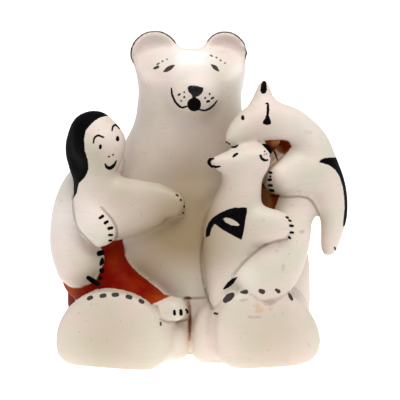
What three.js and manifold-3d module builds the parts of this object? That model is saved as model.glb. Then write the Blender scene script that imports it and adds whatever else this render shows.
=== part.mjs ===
// A hand-built clay storyteller: a seated bear that holds a child, a bear cub and a dog.
// The figure is one fired piece, so it is one solid: rolls of clay joined to each other and cut flat below.
// The front faces -Y, +X is to the right as the front is seen, and the origin is under the middle of the piece.
import * as THREE from "three";
import { mergeVertices } from "three/addons/utils/BufferGeometryUtils.js";
import Module from "manifold-3d";

// Driving dimensions in millimetres.
const HEIGHT = 153; // from the table to the top of the taller ear
const EAR_THICKNESS = 9; // of the bear's ear lobes, front to back
const EAR_HOLLOW = 3; // depth of the dish pressed into each ear
const SOLE_CROWN = 5; // how far each sole rounds out beyond the foot's widest section
const FLOOR_CUT = 100; // thickness of the slab that trims the underside flat

// Shares of a foot's section: how deep it is below its widest line, and the roundness of each half.
const UNDERFOOT = 0.47;
const UNDERFOOT_POWER = 2 / 3.4;
const INSTEP_POWER = 2 / 2.2;

// Directions along which a roll's half depth is measured.
const FRONT_TO_BACK = new THREE.Vector3(0, 1, 0);
const UPWARD = new THREE.Vector3(0, 0, 1);

// The stations below are sculpted for a height of 153 mm, and every point takes this share.
const share = HEIGHT / 153;
const wasm = await Module();
wasm.setup();

// Makes the manifold solid of a closed three.js geometry.
function solidOf(geometry) {
  geometry.deleteAttribute("normal");
  geometry.deleteAttribute("uv");
  const merged = mergeVertices(geometry, 1e-4);
  return new wasm.Manifold(
    new wasm.Mesh({
      numProp: 3,
      vertProperties: merged.attributes.position.array,
      triVerts: new Uint32Array(merged.index.array),
    }),
  );
}

// Sections give [across, through] shares at each turn. A roll is oval unless another section is named.
const oval = (turn) => [-Math.cos(turn), Math.sin(turn)];

// The foot's section is an arch over a flattened underside; lean shifts its top sideways.
const arch = (lean) => (turn) => {
  const [across, through] = oval(turn);
  const above = through >= 0;
  const power = above ? INSTEP_POWER : UNDERFOOT_POWER;
  const rise = Math.abs(through) ** power;
  const reach = Math.sign(across) * Math.abs(across) ** power;
  return above ? [reach + lean * rise, rise] : [reach, -UNDERFOOT * rise];
};

// A roll of clay with round ends. Each station is [x, y, z, half width, half depth] in sculpted millimetres.
// The half depth lies along depthAxis and the half width across it. firstCap and lastCap are the lengths of
// the round ends.
function roll(stations, options = {}) {
  const { sides = 16, steps = 1, capRows = 3, depthAxis = FRONT_TO_BACK, section = oval } = options;
  const [first, last] = [stations[0], stations[stations.length - 1]];
  const { firstCap = (first[3] + first[4]) / 2, lastCap = (last[3] + last[4]) / 2 } = options;
  const spine = new THREE.CatmullRomCurve3(stations.map(([x, y, z]) => new THREE.Vector3(x, y, z)));
  const girth = new THREE.CatmullRomCurve3(
    stations.map(([, , , wide, deep]) => new THREE.Vector3(wide, deep, 0)),
  );
  const bodyRows = (stations.length - 1) * steps;
  const rows = bodyRows + 2 * capRows;
  const geometry = new THREE.SphereGeometry(1, sides, rows);
  const { position, uv } = geometry.attributes;
  const along = new THREE.Vector3();
  const depth = new THREE.Vector3();
  const width = new THREE.Vector3();
  for (let i = 0; i < position.count; i++) {
    const row = Math.round((1 - uv.getY(i)) * rows);
    const t = THREE.MathUtils.clamp((row - capRows) / bodyRows, 0, 1);
    const intoFirst = Math.max(0, capRows - row) / capRows;
    const intoLast = Math.max(0, row - capRows - bodyRows) / capRows;
    const capAngle = ((intoFirst + intoLast) * Math.PI) / 2;
    const reach = Math.sin(capAngle) * (intoFirst > 0 ? -firstCap : lastCap);
    const girthHere = girth.getPoint(t).multiplyScalar(Math.cos(capAngle));
    along.copy(spine.getTangent(t));
    depth.copy(depthAxis).addScaledVector(along, -depthAxis.dot(along)).normalize();
    width.crossVectors(depth, along);
    const [across, through] = section(uv.getX(i) * 2 * Math.PI);
    const point = spine
      .getPoint(t)
      .addScaledVector(along, reach)
      .addScaledVector(width, across * girthHere.x)
      .addScaledVector(depth, through * girthHere.y)
      .multiplyScalar(share);
    position.setXYZ(i, point.x, point.y, point.z);
  }
  return solidOf(geometry);
}

// A lump of clay: an ellipsoid at [x, y, z] with the three half sizes given.
function lump([x, y, z], [halfX, halfY, halfZ], sides = 16) {
  const geometry = new THREE.SphereGeometry(1, sides, Math.round(sides * 0.6));
  geometry.rotateX(Math.PI / 2);
  geometry.scale(halfX * share, halfY * share, halfZ * share);
  geometry.translate(x * share, y * share, z * share);
  return solidOf(geometry);
}

// The bear's trunk, neck and head are one tall roll, with a paunch over the lap and a blunt snout.
function bearBody() {
  const trunk = roll(
    [
      [-1.2, 6, -8, 58, 35],
      [-1.2, 6, 4, 60, 36],
      [-1.2, 6, 16, 60.8, 36.5],
      [-1, 5, 28, 60.4, 36.5],
      [-1, 4, 40, 59.4, 36],
      [-0.9, 3.5, 51, 56.8, 34.5],
      [-0.4, 3, 62, 52.8, 32.5],
      [0, 2, 76, 46, 29.5],
      [0, 1, 90, 37, 27],
      [-0.3, 0, 101.5, 30.8, 25],
      [-0.8, -1, 112.5, 25.6, 24],
      [-0.6, -2, 123, 24.8, 23.6],
      [-0.1, -2.2, 131, 26.6, 21.4],
      [-0.2, -1.4, 137, 26.2, 17],
    ],
    { sides: 32, capRows: 4, lastCap: 7 },
  );
  const paunch = lump([1, -12, 50], [40, 25, 42], 28);
  const snout = roll(
    [
      [0, -10, 128, 16, 12],
      [0.8, -18, 127.8, 15, 12],
      [1.6, -25, 126.4, 13.4, 11.6],
      [2.2, -31.5, 124.8, 10.8, 9.4],
    ],
    { sides: 18, depthAxis: UPWARD, firstCap: 4, lastCap: 4.5 },
  );
  const noseTip = lump([2.4, -34.6, 128.6], [4.6, 3, 3.4], 12);
  return [trunk, paunch, snout, noseTip];
}

// Each ear is a round lobe on the crown, dished in front.
function bearEars() {
  const lobes = [
    { centre: [-17.6, -3, 140.8], wide: 12.6, high: 12.2 },
    { centre: [16.3, -3, 141], wide: 10.9, high: 11.1 },
  ];
  const thick = EAR_THICKNESS / 2 / share;
  const hollow = EAR_HOLLOW / share;
  const dishDepth = 12;
  return lobes.map(({ centre: [x, y, z], wide, high }) => {
    const lobe = lump([x, y, z], [wide, thick, high], 22);
    const dishY = y - thick + hollow - dishDepth;
    return lobe.subtract(lump([x, dishY, z], [wide * 1.2, dishDepth, high * 1.2], 18));
  });
}

// The legs splay forward from the hips and end in broad upright soles. Their inner sides press together.
function bearLegs() {
  const soleCrown = SOLE_CROWN / share;
  const left = roll(
    [
      [-28, 4, 10.5, 24, 27],
      [-30.5, -9, 10.5, 28, 26],
      [-31.5, -22, 10.5, 28.5, 24],
      [-33.5, -34, 10, 28, 23.5],
      [-36.8, -41, 10, 27, 25],
      [-38.2, -47, 10, 26, 26],
    ],
    { sides: 26, depthAxis: UPWARD, section: arch(0.07), firstCap: 12, lastCap: soleCrown },
  );
  const right = roll(
    [
      [28, 4, 11.5, 24, 27],
      [30.5, -9, 11.5, 28, 27],
      [31.5, -22, 11.5, 28.5, 25],
      [33.5, -34, 11.5, 27.5, 24.5],
      [35.8, -42, 11.5, 25.6, 25.6],
      [36.8, -47, 11.5, 24.6, 26.5],
    ],
    { sides: 26, depthAxis: UPWARD, section: arch(-0.2), firstCap: 12, lastCap: soleCrown },
  );
  const leftCalf = roll(
    [
      [-13.8, -4, 7, 14.2, 17],
      [-14.4, -38, 7, 13.8, 14.5],
    ],
    { sides: 20, depthAxis: UPWARD, section: arch(0), lastCap: 8 },
  );
  const rightCalf = roll(
    [
      [13.8, -4, 8.5, 14, 21.5],
      [14.6, -38, 8.5, 14.2, 22],
    ],
    { sides: 20, depthAxis: UPWARD, section: arch(0), lastCap: 8 },
  );
  return [left, right, leftCalf, rightCalf];
}

// The arms hang from the shoulders and bring a broad paw round to the front.
function bearArms() {
  const armRoundChild = roll(
    [
      [-27, 1, 83, 14, 14],
      [-38.8, 0, 80, 14.5, 15.5],
      [-48.6, -1, 74.4, 14.2, 15.8],
      [-53.4, -4, 66, 13.8, 15.4],
      [-54.4, -8, 56, 14.2, 14.5],
      [-54.2, -15, 49.5, 13.8, 13.5],
      [-51.4, -24, 42.4, 13.2, 11],
    ],
    { sides: 20, lastCap: 9 },
  );
  const upperArmRoundCub = roll(
    [
      [22, 1, 88, 15, 14],
      [36, -2, 87, 15.5, 17],
      [44.2, -10, 75, 15.4, 18],
      [46, -15, 65, 14.4, 17],
    ],
    { sides: 20, steps: 2, lastCap: 9 },
  );
  const forearmRoundCub = roll(
    [
      [45, -16, 63, 13, 16],
      [42, -31, 54, 13.6, 14],
      [38, -39.5, 46.5, 14, 11.5],
      [29.6, -44, 38, 13.6, 9],
    ],
    { sides: 20, steps: 2, lastCap: 6 },
  );
  const lap = lump([-44, -12, 34], [19, 17, 14], 16);
  return [armRoundChild, upperArmRoundCub, forearmRoundCub, lap];
}

// The child leans on the bear's arm, with one arm hanging, the other laid across the bear's chest
// and a leg reaching down to a small foot between the bear's feet.
function child() {
  const head = roll(
    [
      [-46, -25, 109.4, 10.4, 10],
      [-44.4, -25.5, 105, 12.7, 11.5],
      [-42.4, -26.5, 100, 12.9, 12],
      [-41.2, -26.5, 94.5, 10.2, 10.4],
    ],
    { sides: 20, firstCap: 8.4, lastCap: 7 },
  );
  const hair = roll(
    [
      [-47, -22, 107, 10.4, 10],
      [-50.5, -20, 99, 9.2, 9.5],
      [-51.5, -20, 91, 6.9, 8],
      [-51.5, -22, 83.5, 4.4, 5],
      [-53.6, -24, 77.5, 2.2, 2.6],
    ],
    { sides: 14, steps: 2, lastCap: 2.5 },
  );
  const trunk = roll(
    [
      [-43.4, -26, 90, 8.6, 8.6],
      [-43, -26, 80, 11.6, 9.5],
      [-40, -25, 66, 12, 10],
    ],
    { sides: 16, steps: 2 },
  );
  const hangingArm = roll(
    [
      [-48, -27, 78, 6.8, 6.5],
      [-47.8, -30, 71.5, 8.4, 6.8],
      [-44, -33, 65, 9.4, 6],
      [-40.6, -35, 60.6, 7.4, 5],
    ],
    { sides: 14, steps: 2, lastCap: 5.5 },
  );
  const reachingArm = roll(
    [
      [-37, -27, 77, 10, 9],
      [-26, -31.5, 77, 9, 7.4],
      [-15, -35.5, 76.6, 8.4, 5.8],
      [-7.4, -37.5, 75.4, 6.4, 4.4],
    ],
    { sides: 14, steps: 2, lastCap: 5.4 },
  );
  const hip = roll(
    [
      [-39, -26, 67, 11, 9.5],
      [-28, -31, 68.8, 10, 8.6],
      [-17, -35, 71.8, 7.6, 6],
    ],
    { sides: 14, steps: 2, lastCap: 6 },
  );
  const leg = roll(
    [
      [-38, -20, 59, 8, 9],
      [-37.3, -20, 49.6, 8.2, 9],
      [-36.7, -22.5, 41.4, 9.6, 9.5],
      [-32.8, -28, 33.8, 10.2, 10],
      [-25.5, -34.5, 28.7, 9.2, 9.6],
      [-16.5, -40.5, 26.4, 8, 7.4],
      [-7, -44, 26.8, 6.6, 5.8],
    ],
    { sides: 16, depthAxis: UPWARD, lastCap: 5.5 },
  );
  return [head, hair, trunk, hangingArm, reachingArm, hip, leg];
}

// The cub stands in the lap with its nose up and one arm stretched to the side.
function cub() {
  const trunk = roll(
    [
      [24, -38, 91, 9.6, 9],
      [23, -38.5, 83, 9.8, 9.5],
      [21, -39, 73, 12.6, 10.5],
      [19, -39, 62, 13.8, 11.5],
      [17.2, -38.5, 51, 12, 10],
      [14.8, -39.5, 40, 8.2, 7.6],
      [12.6, -42.5, 31, 4.6, 5.4],
    ],
    { sides: 18, lastCap: 5 },
  );
  const head = roll(
    [
      [29, -38.5, 96.4, 8.8, 9],
      [22, -41, 96, 7.6, 7.4],
      [15.6, -43.5, 96, 5.2, 5.4],
      [11.2, -45.4, 96.8, 3.3, 3.4],
    ],
    { sides: 16, steps: 2, firstCap: 7.8, lastCap: 3 },
  );
  const ear = lump([33.2, -43.8, 98.6], [4.4, 3, 4.8], 12);
  const arm = roll(
    [
      [25, -42, 68, 9, 7.5],
      [34, -45, 67.6, 8.4, 6.8],
      [41, -45, 67.4, 6.8, 5.6],
    ],
    { sides: 14, steps: 2, lastCap: 6 },
  );
  return [trunk, head, ear, arm];
}

// The dog is draped over the bear's shoulder: its head in front, its hind leg hanging outside the arm.
function dog() {
  const body = roll(
    [
      [16.6, -40, 105, 2.4, 2.6],
      [19.6, -38.5, 107, 5, 5.2],
      [23.4, -36, 109.3, 7.1, 7],
      [28.2, -33, 111.7, 8.7, 8.4],
      [33.8, -29.5, 113.2, 9.6, 9],
      [40.4, -26, 112.5, 9, 9.2],
      [46.6, -23, 110.7, 8.4, 9.2],
      [52.1, -20.5, 106.5, 8.1, 9.5],
      [57.6, -18, 99.9, 8.6, 10],
      [59.8, -16, 91.2, 10.2, 11.6],
      [63.2, -14, 82, 10.2, 11.4],
      [66.4, -12.5, 73.6, 9.2, 10],
      [68.7, -11.5, 65.6, 7.4, 8.4],
      [68.5, -11.5, 58.4, 6, 7],
      [67, -12, 49, 4.7, 5],
    ],
    { sides: 18, firstCap: 2.2, lastCap: 5.6 },
  );
  const foreleg = roll(
    [
      [58, -18, 89.5, 13, 11.4],
      [50, -21, 89, 11.4, 10.6],
      [44, -25, 87.4, 9.6, 9.4],
      [38.6, -30.5, 86, 7.4, 8],
    ],
    { sides: 16, lastCap: 3.4 },
  );
  const farForeleg = roll(
    [
      [47, -17, 99, 5, 5],
      [41, -22, 94.5, 4.5, 4.5],
      [37, -26, 91, 4, 4],
    ],
    { sides: 12 },
  );
  const farEar = roll(
    [
      [34, -25, 118.6, 8.4, 4.8],
      [33.8, -25, 125.2, 4.8, 3.6],
      [33.8, -25, 129.4, 3.4, 3],
    ],
    { sides: 12, lastCap: 3.6 },
  );
  return [body, foreleg, farForeleg, farEar];
}

// Joins every roll and trims the underside flat on the table.
function storyteller() {
  const rolls = [
    ...bearBody(),
    ...bearEars(),
    ...bearLegs(),
    ...bearArms(),
    ...child(),
    ...cub(),
    ...dog(),
  ];
  const clay = rolls.reduce((joined, piece) => joined.add(piece));
  const slab = new THREE.BoxGeometry(4 * HEIGHT, 4 * HEIGHT, FLOOR_CUT);
  slab.translate(0, 0, -FLOOR_CUT / 2);
  return clay.subtract(solidOf(slab));
}

// Turns the solid into a geometry whose origin is under the middle of its box.
function geometryOf(solid) {
  const { vertProperties, triVerts, numProp } = solid.getMesh();
  const positions = new Float32Array((vertProperties.length / numProp) * 3);
  for (let i = 0; i < positions.length / 3; i++) {
    positions.set(vertProperties.subarray(i * numProp, i * numProp + 3), i * 3);
  }
  const geometry = new THREE.BufferGeometry();
  geometry.setAttribute("position", new THREE.BufferAttribute(positions, 3));
  geometry.setIndex(new THREE.BufferAttribute(new Uint32Array(triVerts), 1));
  geometry.computeBoundingBox();
  const middle = geometry.boundingBox.getCenter(new THREE.Vector3());
  geometry.translate(-middle.x, -middle.y, 0);
  geometry.computeVertexNormals();
  return geometry;
}

const slippedClay = new THREE.MeshStandardMaterial({ color: 0xddd2c3, roughness: 0.62, metalness: 0 });
const figure = new THREE.Mesh(geometryOf(storyteller()), slippedClay);
figure.name = "bear_storyteller";

const group = new THREE.Group();
group.add(figure);
export default group;
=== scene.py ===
# A pueblo storyteller: a seated bear of hand-built, fired clay that holds a child, a cub and a dog.
# It is slipped cream and red, burnished by hand and painted with black strokes.
# The front faces -Y, +X is to the right as the front is seen, and the figure stands on z = 0.
import math
from functools import partial

import bmesh
import bpy
import numpy as np
from mathutils import Matrix, Vector
from mathutils.bvhtree import BVHTree
from mathutils.kdtree import KDTree


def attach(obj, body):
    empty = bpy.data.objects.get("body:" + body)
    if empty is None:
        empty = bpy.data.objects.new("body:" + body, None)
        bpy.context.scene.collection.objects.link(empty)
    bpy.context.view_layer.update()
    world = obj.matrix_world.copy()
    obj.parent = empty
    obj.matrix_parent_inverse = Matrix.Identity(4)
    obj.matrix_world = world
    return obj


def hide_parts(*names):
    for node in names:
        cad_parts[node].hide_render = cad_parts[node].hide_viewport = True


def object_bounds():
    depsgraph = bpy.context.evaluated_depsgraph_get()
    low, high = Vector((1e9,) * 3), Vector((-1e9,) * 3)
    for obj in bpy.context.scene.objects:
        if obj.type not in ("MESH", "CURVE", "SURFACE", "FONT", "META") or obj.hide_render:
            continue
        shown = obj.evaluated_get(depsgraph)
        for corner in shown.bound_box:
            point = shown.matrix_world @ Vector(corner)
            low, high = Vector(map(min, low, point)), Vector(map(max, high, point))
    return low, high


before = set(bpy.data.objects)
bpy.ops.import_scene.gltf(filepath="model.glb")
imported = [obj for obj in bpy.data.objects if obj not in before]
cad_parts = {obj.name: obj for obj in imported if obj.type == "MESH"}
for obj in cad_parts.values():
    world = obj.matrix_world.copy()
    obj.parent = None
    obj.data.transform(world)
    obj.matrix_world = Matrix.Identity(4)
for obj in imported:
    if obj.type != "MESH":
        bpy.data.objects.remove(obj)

CAD_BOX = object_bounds()
MM = 0.001
SCULPTED_HEIGHT = 153  # the height in millimetres at which the rolls below are given
SHARE = (CAD_BOX[1].z - CAD_BOX[0].z) / (SCULPTED_HEIGHT * MM)

# The clay's own sizes, in millimetres.
ROW_SPACING = 3.0  # between the rings of a roll
SKIN_GRAIN = 1.3  # size of the faces that the joined clay is skinned with
EAR_THICKNESS = 9.0
THUMB_DEPTH = 4.2  # of the dish pressed into the front of each ear
THUMB_DROP = 0.5  # how far the dish's middle is below the ear's own
SOLE_CROWN = 5.0
LUMP_SIZE = 16.0  # from one finger-pressed swell to the next
LUMP_HEIGHT = 0.5
BRUSH_GRAIN = 0.45  # size of the faces along a painted edge

THUMB_REACH = 0.86  # the dish's radius as a share of the ear's
DISH_POWER = 4  # how flat the dish's bottom is
CAP_TURNS = (82, 62, 42, 21)  # degrees from a roll's widest ring to those that round its end
NEXT_TO_NOTHING = 1e-4  # share of a curve's length, or gap between its stations
MELTING = 0.5  # how much of a crease one pass of smoothing takes
JOINED_PASSES = 5  # of smoothing, once all the clay is joined

# Shares of a foot's section: how deep it is below its widest line, and the roundness of each half.
UNDERFOOT = 0.47
UNDERFOOT_POWER = 2 / 3.4
INSTEP_POWER = 2 / 2.2

# The photograph's view: the pixels are those of a 400 x 400 frame.
FRAME_SIDE = 400
SENSOR = 36.0
LENS = 128.5
VIEW_DOWN = math.radians(12)
VIEW_DISTANCE = 700 * MM
VIEW_TARGET = Vector((0.67, 6.04, 69.5)) * MM

FRONT_TO_BACK = Vector((0, 1, 0))
UPWARD = Vector((0, 0, 1))


# Helpers

def deselect_all():
    if bpy.context.object and bpy.context.object.mode != "OBJECT":
        bpy.ops.object.mode_set(mode="OBJECT")
    bpy.ops.object.select_all(action="DESELECT")


def pick(*objects):
    """Selects these objects alone, the first one active."""
    deselect_all()
    for item in objects:
        item.select_set(True)
    bpy.context.view_layer.objects.active = objects[0]


def finish_with(item, kind, **settings):
    """Adds a modifier to the object and applies it."""
    pick(item)
    modifier = item.modifiers.new(kind.title(), kind)
    for name, value in settings.items():
        setattr(modifier, name, value)
    bpy.ops.object.modifier_apply(modifier=modifier.name)


def positions_of(item):
    """Every vertex of the object as an array, in metres."""
    spots = np.zeros(len(item.data.vertices) * 3)
    item.data.vertices.foreach_get("co", spots)
    return spots.reshape(-1, 3)


def normals_of(item):
    """The normal at every vertex of the object."""
    normals = np.zeros(len(item.data.vertices) * 3, np.float32)
    item.data.vertices.foreach_get("normal", normals)
    return normals.reshape(-1, 3)


def surface_of(item):
    """The object's faces, ready to be asked for the place nearest to a point or on a line."""
    corners = [vertex.co for vertex in item.data.vertices]
    return BVHTree.FromPolygons(corners, [face.vertices for face in item.data.polygons])


def keep_on(item, fields):
    """Keeps each field's values on the object's vertices, for the finish to read."""
    for name, values in fields.items():
        item.data.attributes.new(name, "FLOAT", "POINT").data.foreach_set("value", values)


def spline(points, t):
    """The point at share t of a centripetal Catmull-Rom curve through the points."""
    place = t * (len(points) - 1)
    i = min(int(place), len(points) - 2)
    weight = place - i
    before = points[i - 1] if i > 0 else 2 * points[0] - points[1]
    after = points[i + 2] if i + 2 < len(points) else 2 * points[-1] - points[-2]
    p = [before, points[i], points[i + 1], after]
    gaps = [np.linalg.norm(p[k + 1] - p[k]) ** 0.5 for k in range(3)]
    if gaps[1] <= NEXT_TO_NOTHING:
        gaps[1] = 1.0
    for k in (0, 2):
        if gaps[k] <= NEXT_TO_NOTHING:
            gaps[k] = gaps[1]
    steps = [(p[k + 1] - p[k]) / gaps[k] for k in range(3)]
    wide = [(p[k + 2] - p[k]) / (gaps[k] + gaps[k + 1]) for k in range(2)]
    leave = (steps[0] - wide[0] + steps[1]) * gaps[1]
    arrive = (steps[1] - wide[1] + steps[2]) * gaps[1]
    cubic = 2 * p[1] - 2 * p[2] + leave + arrive
    square = -3 * p[1] + 3 * p[2] - 2 * leave - arrive
    return p[1] + weight * (leave + weight * (square + weight * cubic))


# The clay: sections, rolls and lumps

def oval(across, through):
    return across, through


def arch(lean):
    """The foot's section: an arch over a flattened underside. lean shifts its top sideways."""
    def section(across, through):
        above = through >= 0
        power = INSTEP_POWER if above else UNDERFOOT_POWER
        rise = abs(through) ** power
        reach = math.copysign(abs(across) ** power, across)
        return (reach + lean * rise, rise) if above else (reach, -UNDERFOOT * rise)
    return section


def roll(name, stations, depth_axis=FRONT_TO_BACK, section=oval, first_cap=None, last_cap=None, sides=32):
    """A roll of clay with round ends. Each station is x, y, z, half width, half depth, in millimetres."""
    table = np.array(stations, float)
    spine, girth = table[:, :3], table[:, 3:]
    longest = np.linalg.norm(np.diff(spine, axis=0), axis=1).max()
    rows = (len(table) - 1) * max(1, math.ceil(longest / ROW_SPACING))
    caps = [np.mean(girth[0]) if first_cap is None else first_cap,
            np.mean(girth[-1]) if last_cap is None else last_cap]
    turns = [math.radians(turn) for turn in CAP_TURNS]
    plan = [(0.0, a, -caps[0]) for a in turns] + [(k / rows, 0.0, 0.0) for k in range(rows + 1)]
    plan += [(1.0, a, caps[1]) for a in reversed(turns)]

    deselect_all()
    bpy.ops.mesh.primitive_circle_add(vertices=sides, radius=1)
    item = bpy.context.object
    item.name = item.data.name = name
    bpy.ops.object.mode_set(mode="EDIT")
    for k, (t, turn, cap) in enumerate(plan):
        if k:
            bpy.ops.mesh.primitive_circle_add(vertices=sides, radius=1)
        t0, t1 = max(0.0, t - NEXT_TO_NOTHING), min(1.0, t + NEXT_TO_NOTHING)
        along = Vector(spline(spine, t1) - spline(spine, t0)).normalized()
        depth = (depth_axis - along * depth_axis.dot(along)).normalized()
        width = depth.cross(along)
        wide, deep = spline(girth, t) * math.cos(turn)
        centre = Vector(spline(spine, t)) + along * cap * math.sin(turn)
        edit = bmesh.from_edit_mesh(item.data)
        for vertex in edit.verts:
            if vertex.select:
                across, through = section(vertex.co.x, vertex.co.y)
                vertex.co = centre + width * (across * wide) + depth * (through * deep)
        bmesh.update_edit_mesh(item.data)
    for k in range(len(plan) - 1):
        select_rings(item, k * sides, (k + 2) * sides)
        bpy.ops.mesh.bridge_edge_loops()
    for k in (0, len(plan) - 1):
        select_rings(item, k * sides, (k + 1) * sides)
        bpy.ops.mesh.edge_face_add()
    bpy.ops.mesh.select_all(action="SELECT")
    bpy.ops.mesh.normals_make_consistent(inside=False)
    bpy.ops.object.mode_set(mode="OBJECT")
    return item


def select_rings(item, start, stop):
    """Selects, in edit mode, the vertices numbered from start up to stop."""
    bpy.ops.mesh.select_all(action="DESELECT")
    edit = bmesh.from_edit_mesh(item.data)
    edit.verts.ensure_lookup_table()
    for vertex in edit.verts[start:stop]:
        vertex.select = True
    edit.select_flush(True)
    bmesh.update_edit_mesh(item.data)


def lump(name, place, half_sizes, sides=48):
    """A lump of clay: an ellipsoid at the place with the half sizes given, in millimetres."""
    deselect_all()
    bpy.ops.mesh.primitive_uv_sphere_add(segments=sides, ring_count=sides // 2, radius=1,
                                         location=place, scale=half_sizes)
    item = bpy.context.object
    item.name = item.data.name = name
    bpy.ops.object.transform_apply(location=True, rotation=True, scale=True)
    return item


def bear_body():
    return [
        roll("trunk", [
            (-1.2, 6, -8, 58, 35), (-1.2, 6, 4, 60, 36), (-1.2, 6, 16, 60.8, 36.5),
            (-1, 5, 28, 60.4, 36.5), (-1, 4, 40, 59.4, 36), (-0.9, 3.5, 51, 56.8, 34.5),
            (-0.4, 3, 62, 52.8, 32.5), (0, 2, 76, 46, 29.5), (0, 1, 90, 37, 27),
            (-0.3, 0, 101.5, 30.8, 25), (-0.8, -1, 112.5, 25.6, 24), (-0.6, -2, 123, 24.8, 23.6),
            (-0.1, -2.2, 131, 26.6, 21.4), (-0.2, -1.4, 137, 26.2, 17),
        ], last_cap=7, sides=72),
        lump("paunch", (1, -12, 50), (40, 25, 42), sides=72),
        roll("snout", [
            (0, -10, 128, 16, 12), (0.8, -18, 127.8, 15, 12), (1.6, -25, 126.4, 13.4, 11.6),
            (2.2, -31.5, 124.8, 10.8, 9.4),
        ], depth_axis=UPWARD, first_cap=4, last_cap=4.5, sides=40),
        lump("nose tip", (2.4, -34.6, 128.6), (4.6, 3, 3.4), sides=24),
    ]


# Each ear's centre, half width and half height.
EARS = {"left": ((-17.2, -3, 140.9), 12.5, 12.4), "right": ((16.3, -3, 141.4), 11.1, 11.6)}


def bear_ears():
    """Each ear is a round lobe on the crown."""
    return [lump(side + " ear", centre, (wide, EAR_THICKNESS / 2, high))
            for side, (centre, wide, high) in EARS.items()]


def bear_legs():
    """The legs splay forward and end in broad upright soles. Their inner sides press together."""
    left = [(-28, 4, 10.5, 24, 27), (-30.5, -9, 10.5, 28, 26), (-31.5, -22, 10.5, 28.5, 24),
            (-33.5, -34, 10, 28, 23.5), (-36.8, -41, 10, 27, 25), (-38.2, -47, 10, 26, 26)]
    right = [(28, 4, 11.5, 24, 27), (30.5, -9, 11.5, 28, 27), (31.5, -22, 11.5, 28.5, 25),
             (33.5, -34, 11.5, 27.5, 24.5), (35.8, -42, 11.5, 25.6, 25.6), (36.8, -47, 11.5, 24.6, 26.5)]
    foot = {"depth_axis": UPWARD, "first_cap": 12, "last_cap": SOLE_CROWN, "sides": 64}
    calf = {"depth_axis": UPWARD, "section": arch(0), "last_cap": 8, "sides": 40}
    return [
        roll("left foot", left, section=arch(0.07), **foot),
        roll("right foot", right, section=arch(-0.2), **foot),
        roll("left calf", [(-13.8, -4, 7, 14.2, 17), (-14.4, -38, 7, 13.8, 14.5)], **calf),
        roll("right calf", [(13.8, -4, 8.5, 14, 21.5), (14.6, -38, 8.5, 14.2, 22)], **calf),
    ]


def bear_arms():
    """The arms hang from the shoulders and bring a broad paw round to the front."""
    return [
        roll("arm round child", [
            (-27, 1, 83, 14, 14), (-38.8, 0, 80, 14.5, 15.5), (-48.6, -1, 74.4, 14.2, 15.8),
            (-53.4, -4, 66, 13.8, 15.4), (-54.4, -8, 56, 14.2, 14.5), (-54.2, -15, 49.5, 13.8, 13.5),
            (-51.4, -24, 42.4, 13.2, 11),
        ], last_cap=9, sides=40),
        roll("upper arm round cub", [
            (22, 1, 88, 15, 14), (36, -2, 87, 15.5, 17), (44.2, -10, 75, 15.4, 18),
            (46, -15, 65, 14.4, 17),
        ], last_cap=9, sides=40),
        roll("forearm round cub", [
            (45, -16, 63, 13, 16), (42, -31, 54, 13.6, 14), (38, -39.5, 46.5, 14, 11.5),
            (29.6, -44, 38, 13.6, 9),
        ], last_cap=6, sides=40),
        lump("lap", (-44, -12, 34), (19, 17, 14)),
    ]


def child_head():
    """The child's head, with the long hair that hangs down its back."""
    return [
        roll("child's head", [
            (-46, -25, 109.4, 10.4, 10), (-44.4, -25.5, 105, 12.7, 11.5), (-42.4, -26.5, 100, 12.9, 12),
            (-41.2, -26.5, 94.5, 10.2, 10.4),
        ], first_cap=8.4, last_cap=7),
        roll("child's hair", [
            (-47, -22, 107, 10.4, 10), (-50.5, -20, 99, 9.2, 9.5), (-51.5, -20, 91, 6.9, 8),
            (-51.5, -22, 83.5, 4.4, 5), (-53.6, -24, 77.5, 2.2, 2.6),
        ], last_cap=2.5),
    ]


def child():
    """The child leans on the bear's arm."""
    return [
        roll("child's trunk", [
            (-43.4, -26, 90, 8.6, 8.6), (-43, -26, 80, 11.6, 9.5), (-40, -25, 66, 12, 10),
        ]),
        roll("child's hanging arm", [
            (-48, -27, 78, 6.8, 6.5), (-47.8, -30, 71.5, 8.4, 6.8), (-44, -33, 65, 9.4, 6),
            (-40.6, -35, 60.6, 7.4, 5),
        ], last_cap=5.5),
        roll("child's reaching arm", [
            (-37, -27, 77, 10, 9), (-26, -31.5, 77, 9, 7.4), (-15, -35.5, 76.6, 8.4, 5.8),
            (-7.4, -37.5, 75.4, 6.4, 4.4),
        ], last_cap=5.4),
        roll("child's hip", [
            (-39, -26, 67, 11, 9.5), (-28, -31, 68.8, 10, 8.6), (-17, -35, 71.8, 7.6, 6),
        ], last_cap=6),
        roll("child's leg", [
            (-38, -20, 59, 8, 9), (-37.3, -20, 49.6, 8.2, 9), (-36.7, -22.5, 41.4, 9.6, 9.5),
            (-32.8, -28, 33.8, 10.2, 10), (-25.5, -34.5, 28.7, 9.2, 9.6), (-16.5, -40.5, 26.4, 8, 7.4),
            (-7, -44, 26.8, 6.6, 5.8),
        ], depth_axis=UPWARD, last_cap=5.5),
    ]


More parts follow.
